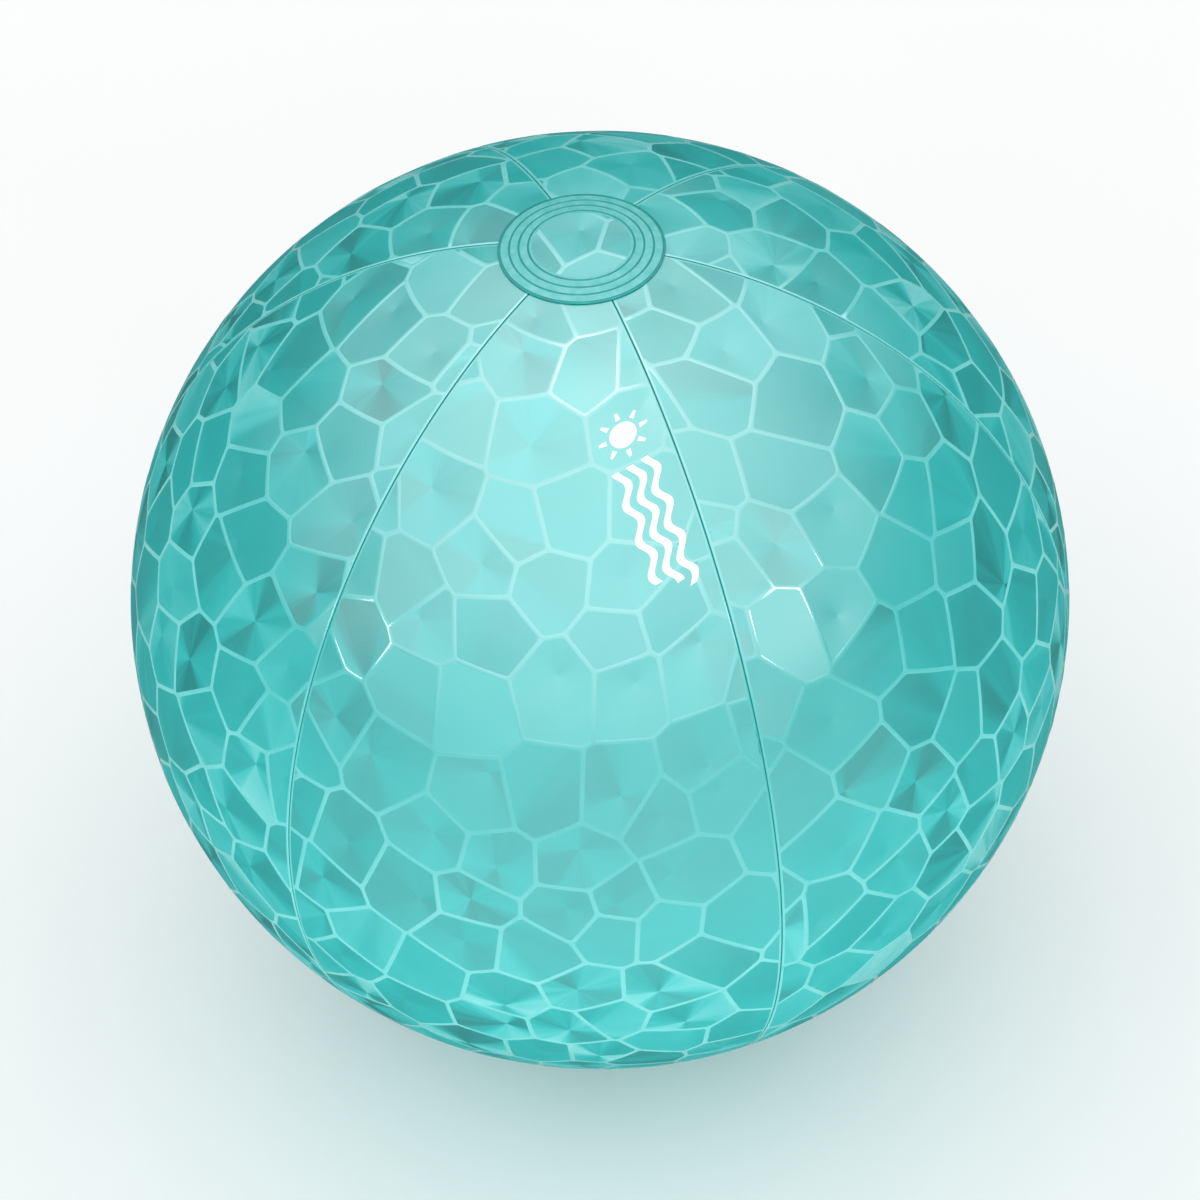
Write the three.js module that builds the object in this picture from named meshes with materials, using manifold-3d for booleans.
// Inflatable beach ball, blown up and standing on its bottom patch. Millimetres, +Z up.
// The origin is the middle of the flat that the ball rests on, the front is -Y, and the valve is at the back, on +Y.
// Six film gores run from pole to pole. Their edges turn inwards and are welded face to face, and a round patch
// covers their ends at each pole. A gap of WELD stands for each weld, so that every piece stays a solid of its own.

import * as THREE from 'three';
import { mergeVertices } from 'three/addons/utils/BufferGeometryUtils.js';
import Module from 'manifold-3d';

// Driving dimensions: the skin
const DEFLATED_WIDTH = 610; // pole to pole across the flat, empty ball, as such balls are sold
const GORE_NAMES = ['front', 'front_right', 'back_right', 'back', 'back_left', 'front_left'];
const FILM = 0.3; // thickness of the vinyl film
const WELD = 0.3; // gap that stands for a weld
const SEAM_DEPTH = 3; // width of a gore's welded edge, turned inwards
const PATCH_RADIUS = 32.5;
const BEAD_COUNT = 4; // weld beads on a patch
const BEAD_INSET = 0.8; // from the patch's rim to the middle of its outermost bead
const BEAD_PITCH = 3.7;
const BEAD_WIDTH = 1.2;
const BEAD_HEIGHT = 0.2;
const BEAD_MARGIN = 2.6; // from the innermost bead's middle to the gores' ends, and to the flat that the ball rests on

// Driving dimensions: the valve, along its own axis from the skin's outer surface
const HOLE_RADIUS = 9.5; // hole in the back gore
const FLANGE_WIDTH = 5.5; // the ring of flange that is welded to the gore, past the hole
const FLANGE_THICKNESS = 0.7;
const FLANGE_LAP = 0.5; // how far the flange stands into the hole
const WEB_FILM = 0.5;
const WEB_DEPTH = 12; // how far the web reaches inwards while the valve is pushed in
const STEM_RADIUS = 5;
const BORE_RADIUS = 3.3;
const STEM_LENGTH = 20;
const STEM_RISE = 0.6; // the mouth's height over the skin while the valve is pushed in
const COLLAR_RIM = 1.2; // how far the collar stands out from the stem
const COLLAR_LENGTH = 2;
const CLEARANCE = 0.3; // between the stopper and what it sits on and in
const HEAD_LAP = 0.3; // the stopper's head past the collar
const HEAD_THICKNESS = 2;
const HEAD_CHAMFER = 0.5;
const NOSE_DEPTH = 5; // how far the stopper reaches into the bore
const NOSE_STEPS = 4;
const HINGE_MARGIN = 0.6; // from the strap's fold to the rim of the hole
const STRAP_WIDTH = 4;
const STRAP_THICKNESS = 1;
const TAB_REACH = 3.6; // pull tab, past the stopper's head
const TAB_WIDTH = 5;
const TAB_THICKNESS = 1;
const FLAP_THICKNESS = 0.4;
const FLAP_MARGIN = 0.3; // the flap's rim inside the stem's outer wall
const FLAP_TAB_WIDTH = 5;

// Facets
const GORE_COLUMNS = 6;
const GORE_ROWS = 20;
const VALVE_GORE_COLUMNS = 12; // finer, because the valve is fitted behind this one
const VALVE_GORE_ROWS = 28;
const PATCH_SEGMENTS = 36;
const PATCH_STEPS = 3;
const VALVE_SEGMENTS = 24;
const FLANGE_STEPS = 3;

// Worked out from the values above
const BALL_RADIUS = DEFLATED_WIDTH / Math.PI;
const HALF_GORE = Math.PI / GORE_NAMES.length;
const PATCH_INNER = BALL_RADIUS + WELD;
const PATCH_OUTER = PATCH_INNER + FILM;
const INNERMOST_BEAD = PATCH_RADIUS - BEAD_INSET - (BEAD_COUNT - 1) * BEAD_PITCH;
const GORE_END_RADIUS = INNERMOST_BEAD - BEAD_MARGIN;
const REST_RADIUS = GORE_END_RADIUS;
const END_LATITUDE = Math.acos(GORE_END_RADIUS / BALL_RADIUS);
const CENTRE_HEIGHT = Math.sqrt(PATCH_OUTER ** 2 - REST_RADIUS ** 2);
const COLUMN_SAG = 1 - Math.cos(HALF_GORE / VALVE_GORE_COLUMNS);
const ROW_SAG = 1 - Math.cos(END_LATITUDE / VALVE_GORE_ROWS);
const FACET_SAG = BALL_RADIUS * (COLUMN_SAG + ROW_SAG); // how far the film's facets dip inside its true curve
const FLANGE_INNER = HOLE_RADIUS - FLANGE_LAP;
const FLANGE_OUTER = HOLE_RADIUS + FLANGE_WIDTH;
const STEM_END = STEM_RISE - STEM_LENGTH;
const COLLAR_RADIUS = STEM_RADIUS + COLLAR_RIM;
const HEAD_RADIUS = COLLAR_RADIUS + HEAD_LAP;
const HINGE_DISTANCE = HOLE_RADIUS - HINGE_MARGIN; // from the valve's axis to the strap's fold
const HEAD_BASE = STEM_RISE + CLEARANCE;
const HINGE_HEIGHT = STEM_RISE + CLEARANCE / 2;
const NOSE_TIP = STEM_RISE - NOSE_DEPTH;

const wasm = await Module();
wasm.setup();

// Solids from three.js geometries, and back
function solid(geometry) {
  const bare = geometry.clone();
  bare.deleteAttribute('normal');
  bare.deleteAttribute('uv');
  const merged = mergeVertices(bare);
  const vertProperties = merged.attributes.position.array;
  const triVerts = new Uint32Array(merged.index.array);
  return new wasm.Manifold(new wasm.Mesh({ numProp: 3, vertProperties, triVerts }));
}

function geometryOf(made) {
  const mesh = made.getMesh();
  const geometry = new THREE.BufferGeometry();
  geometry.setAttribute('position', new THREE.BufferAttribute(mesh.vertProperties, 3));
  geometry.setIndex(new THREE.BufferAttribute(mesh.triVerts, 1));
  const faceted = geometry.toNonIndexed();
  faceted.computeVertexNormals();
  return faceted;
}

function lathe(points, segments) {
  return new THREE.LatheGeometry(points.map(([r, y]) => new THREE.Vector2(r, y)), segments);
}

// A gore's outline at one latitude: the outer face from left to right, the right edge turned inwards, the inner
// face back from right to left, and the left edge. Each edge stays parallel to the seam's plane.
function goreOutline(latitude, columns) {
  const flat = Math.cos(latitude);
  const edge = (radius, offset) => HALF_GORE - Math.asin(offset / (radius * flat));
  const outerEdge = edge(BALL_RADIUS, WELD / 2);
  const innerEdge = edge(BALL_RADIUS - FILM, WELD / 2 + FILM);
  const root = BALL_RADIUS - SEAM_DEPTH;
  const outline = [];
  for (let i = 0; i <= columns; i++) {
    outline.push([BALL_RADIUS, outerEdge * (2 * i / columns - 1)]);
  }
  outline.push([root, edge(root, WELD / 2)]);
  outline.push([root, edge(root, WELD / 2 + FILM)]);
  for (let i = columns; i >= 0; i--) {
    outline.push([BALL_RADIUS - FILM, innerEdge * (2 * i / columns - 1)]);
  }
  outline.push([root, -edge(root, WELD / 2 + FILM)]);
  outline.push([root, -edge(root, WELD / 2)]);
  return outline.map(([radius, turn]) => [
    radius * flat * Math.sin(turn),
    -radius * flat * Math.cos(turn),
    radius * Math.sin(latitude),
  ]);
}

// A gore about the ball's centre, facing -Y: its outlines joined from the bottom end to the top end
function goreGeometry(columns, rows) {
  const positions = [];
  const faces = [];
  const quad = (a, b, c, d) => faces.push(a, b, c, a, c, d);
  for (let row = 0; row <= rows; row++) {
    const latitude = END_LATITUDE * (2 * row / rows - 1);
    positions.push(...goreOutline(latitude, columns).flat());
  }
  const loop = 2 * (columns + 1) + 4;
  for (let row = 0; row < rows; row++) {
    for (let i = 0; i < loop; i++) {
      const next = (i + 1) % loop;
      const low = row * loop;
      const high = low + loop;
      quad(low + i, low + next, high + next, high + i);
    }
  }
  const innerStart = columns + 3;
  for (const [first, turned] of [[0, false], [rows * loop, true]]) {
    const close = (a, b, c, d) => (turned ? quad(a, b, c, d) : quad(d, c, b, a));
    for (let i = 0; i < columns; i++) {
      const inner = first + innerStart + columns - i;
      close(first + i, first + i + 1, inner - 1, inner);
    }
    close(first + columns, first + columns + 1, first + columns + 2, first + innerStart);
    close(first + loop - 1, first, first + innerStart + columns, first + loop - 2);
  }
  const geometry = new THREE.BufferGeometry();
  geometry.setAttribute('position', new THREE.Float32BufferAttribute(positions, 3));
  geometry.setIndex(faces);
  return geometry;
}

// The gore that carries the valve has a round hole at its middle. It is made facing -Y, as the others are.
function valveGoreGeometry() {
  const cutter = new THREE.CylinderGeometry(HOLE_RADIUS, HOLE_RADIUS, 4 * SEAM_DEPTH, VALVE_SEGMENTS);
  cutter.translate(0, -BALL_RADIUS, 0);
  return geometryOf(solid(goreGeometry(VALVE_GORE_COLUMNS, VALVE_GORE_ROWS)).subtract(solid(cutter)));
}

// A pole patch, turned about +Y: a cap with raised weld beads, flattened out to flatRadius
function patchGeometry(flatRadius) {
  const flatHeight = Math.sqrt(PATCH_OUTER ** 2 - flatRadius ** 2);
  const height = (r) => (r < flatRadius ? flatHeight : Math.sqrt(PATCH_OUTER ** 2 - r ** 2));
  const innerHeight = (r) => (r < flatRadius ? flatHeight - FILM : Math.sqrt(PATCH_INNER ** 2 - r ** 2));
  const outer = [];
  for (let i = 0; i < PATCH_STEPS; i++) {
    const r = REST_RADIUS * i / PATCH_STEPS;
    outer.push([r, height(r)]);
  }
  outer.push([REST_RADIUS, height(REST_RADIUS)]);
  for (let i = 0; i < BEAD_COUNT; i++) {
    const middle = INNERMOST_BEAD + i * BEAD_PITCH;
    for (const [side, rise] of [[-2, 0], [-1, 1], [1, 1], [2, 0]]) {
      const r = middle + side * BEAD_WIDTH / 4;
      outer.push([r, height(r) + rise * BEAD_HEIGHT]);
    }
  }
  outer.push([PATCH_RADIUS, height(PATCH_RADIUS)]);
  const inner = [];
  for (let i = 0; i <= 2 * PATCH_STEPS; i++) {
    const r = i < PATCH_STEPS
      ? REST_RADIUS * i / PATCH_STEPS
      : REST_RADIUS + (PATCH_RADIUS - REST_RADIUS) * (i - PATCH_STEPS) / PATCH_STEPS;
    inner.push([r, innerHeight(r)]);
  }
  return lathe([...inner, ...outer.reverse()], PATCH_SEGMENTS);
}

// The valve's pieces are turned about +Y, with y = 0 on the skin's outer surface and +Y pointing out of the ball.

// Height over the skin's outermost point of a sphere about the ball's centre, at a distance r from the valve's axis
function sphereHeight(sphereRadius, r) {
  return Math.sqrt(sphereRadius ** 2 - r ** 2) - BALL_RADIUS;
}

function flangeGeometry() {
  const outerFace = BALL_RADIUS - FILM - FACET_SAG - WELD;
  const innerFace = outerFace - FLANGE_THICKNESS;
  const front = [];
  const back = [];
  for (let i = 0; i <= FLANGE_STEPS; i++) {
    const r = FLANGE_INNER + (FLANGE_OUTER - FLANGE_INNER) * i / FLANGE_STEPS;
    front.push([r, sphereHeight(outerFace, r)]);
    back.push([r, sphereHeight(innerFace, r)]);
  }
  return lathe([...back, ...front.reverse(), back[0]], VALVE_SEGMENTS);
}

// The web runs from the flange's inner rim inwards to the stem.
function webGeometry() {
  const top = sphereHeight(BALL_RADIUS - FILM - FACET_SAG - WELD, FLANGE_INNER);
  const rim = FLANGE_INNER - WELD;
  const foot = STEM_RADIUS + WELD;
  const middle = (rim + foot) / 2;
  const profile = [
    [foot, -WEB_DEPTH],
    [foot + WEB_FILM, -WEB_DEPTH],
    [middle + WEB_FILM, (top - WEB_DEPTH) / 2],
    [rim, top - WEB_FILM],
    [rim, top],
    [rim - WEB_FILM, top],
    [middle, (top - WEB_DEPTH) / 2],
    [foot, -WEB_DEPTH],
  ];
  return lathe(profile, VALVE_SEGMENTS);
}

// A flat plate between two heights, from a shape drawn with x to the right and y towards +Z
function plate(shape, low, high) {
  const geometry = new THREE.ExtrudeGeometry(shape, { depth: high - low, bevelEnabled: false });
  geometry.rotateX(Math.PI / 2);
  geometry.translate(0, high, 0);
  return geometry;
}

function rectangle(left, right, width) {
  const shape = new THREE.Shape();
  shape.moveTo(left, -width / 2);
  shape.lineTo(right, -width / 2);
  shape.lineTo(right, width / 2);
  shape.lineTo(left, width / 2);
  shape.closePath();
  return shape;
}

// The stem: a tube with a collar at its mouth, and a tongue on the -X side that the strap folds from
function stemGeometry() {
  const profile = [
    [BORE_RADIUS, STEM_END],
    [STEM_RADIUS, STEM_END],
    [STEM_RADIUS, STEM_RISE - COLLAR_LENGTH - (COLLAR_RADIUS - STEM_RADIUS)],
    [COLLAR_RADIUS, STEM_RISE - COLLAR_LENGTH],
    [COLLAR_RADIUS, STEM_RISE],
    [BORE_RADIUS, STEM_RISE],
    [BORE_RADIUS, STEM_END],
  ];
  const middleOfWall = (BORE_RADIUS + STEM_RADIUS) / 2;
  const tongue = plate(
    rectangle(CLEARANCE / 2 - HINGE_DISTANCE, -middleOfWall, STRAP_WIDTH),
    STEM_RISE - STRAP_THICKNESS,
    STEM_RISE,
  );
  return geometryOf(solid(lathe(profile, VALVE_SEGMENTS)).add(solid(tongue)));
}

// How wide the stopper's nose may be at a height, so that it swings out of the bore about the strap's fold
function noseRadius(height) {
  const depth = HINGE_HEIGHT - height;
  return BORE_RADIUS - CLEARANCE - depth ** 2 / (2 * (HINGE_DISTANCE + BORE_RADIUS));
}

function stopperGeometry() {
  const headTop = HEAD_BASE + HEAD_THICKNESS;
  const profile = [[0, NOSE_TIP]];
  for (let i = 0; i <= NOSE_STEPS; i++) {
    const height = NOSE_TIP + (HEAD_BASE - NOSE_TIP) * i / NOSE_STEPS;
    profile.push([noseRadius(height), height]);
  }
  profile.push([HEAD_RADIUS - HEAD_CHAMFER, HEAD_BASE]);
  profile.push([HEAD_RADIUS, HEAD_BASE + HEAD_CHAMFER]);
  profile.push([HEAD_RADIUS, headTop - HEAD_CHAMFER]);
  profile.push([HEAD_RADIUS - HEAD_CHAMFER, headTop]);
  profile.push([0, headTop]);
  const tabShape = new THREE.Shape();
  const tabCentre = HEAD_RADIUS + TAB_REACH - TAB_WIDTH / 2;
  tabShape.moveTo(HEAD_RADIUS / 2, -TAB_WIDTH / 2);
  tabShape.lineTo(tabCentre, -TAB_WIDTH / 2);
  tabShape.absarc(tabCentre, 0, TAB_WIDTH / 2, -Math.PI / 2, Math.PI / 2, false);
  tabShape.lineTo(HEAD_RADIUS / 2, TAB_WIDTH / 2);
  tabShape.closePath();
  const tab = plate(tabShape, headTop - HEAD_CHAMFER - TAB_THICKNESS, headTop - HEAD_CHAMFER);
  return geometryOf(solid(lathe(profile, VALVE_SEGMENTS)).add(solid(tab)));
}

// The strap: from the stopper's head to its fold, right over the stem's tongue
function strapGeometry() {
  const nearHead = -HEAD_RADIUS - WELD;
  return plate(rectangle(-HINGE_DISTANCE, nearHead, STRAP_WIDTH), HEAD_BASE, HEAD_BASE + STRAP_THICKNESS);
}

// The check flap: a round film with a short straight edge at its top, where it folds
function flapGeometry() {
  const radius = STEM_RADIUS - FLAP_MARGIN;
  const reach = Math.asin(FLAP_TAB_WIDTH / 2 / radius);
  const shape = new THREE.Shape();
  shape.moveTo(FLAP_TAB_WIDTH / 2, radius);
  shape.lineTo(-FLAP_TAB_WIDTH / 2, radius);
  shape.absarc(0, 0, radius, Math.PI / 2 + reach, Math.PI / 2 - reach + 2 * Math.PI, false);
  shape.closePath();
  // plate() turns the drawing's y to +Z
  return plate(shape, STEM_END - WELD - FLAP_THICKNESS, STEM_END - WELD);
}

// The assembly
function vinyl(color, roughness) {
  return new THREE.MeshStandardMaterial({ color, roughness, metalness: 0 });
}

function named(name, geometry, material) {
  const mesh = new THREE.Mesh(geometry, material);
  mesh.name = name;
  return mesh;
}

const FILM_TEAL = '#59c9bf';
const PATCH_TEAL = '#4fc3b8';
const VALVE_CLEAR = '#d4f0ee';

const ball = new THREE.Group();

const skin = new THREE.Group();
skin.position.z = CENTRE_HEIGHT;
ball.add(skin);
GORE_NAMES.forEach((place, i) => {
  const geometry = place === 'back' ? valveGoreGeometry() : goreGeometry(GORE_COLUMNS, GORE_ROWS);
  const gore = named(`gore_${place}`, geometry, vinyl(FILM_TEAL, 0.25));
  gore.rotation.z = 2 * HALF_GORE * i;
  skin.add(gore);
});
const topPatch = named('patch_top', patchGeometry(0), vinyl(PATCH_TEAL, 0.25));
topPatch.rotation.x = Math.PI / 2;
const bottomPatch = named('patch_bottom', patchGeometry(REST_RADIUS), vinyl(PATCH_TEAL, 0.25));
bottomPatch.rotation.x = -Math.PI / 2;
skin.add(topPatch, bottomPatch);

const valve = new THREE.Group();
valve.position.set(0, BALL_RADIUS, CENTRE_HEIGHT);
ball.add(valve);
valve.add(
  named('valve_flange', flangeGeometry(), vinyl(VALVE_CLEAR, 0.3)),
  named('valve_web', webGeometry(), vinyl(VALVE_CLEAR, 0.3)),
  named('valve_stem', stemGeometry(), vinyl(VALVE_CLEAR, 0.3)),
  named('stopper_plug', stopperGeometry(), vinyl(VALVE_CLEAR, 0.3)),
  named('stopper_strap', strapGeometry(), vinyl(VALVE_CLEAR, 0.3)),
  named('check_flap', flapGeometry(), vinyl(VALVE_CLEAR, 0.2)),
);

export default ball;
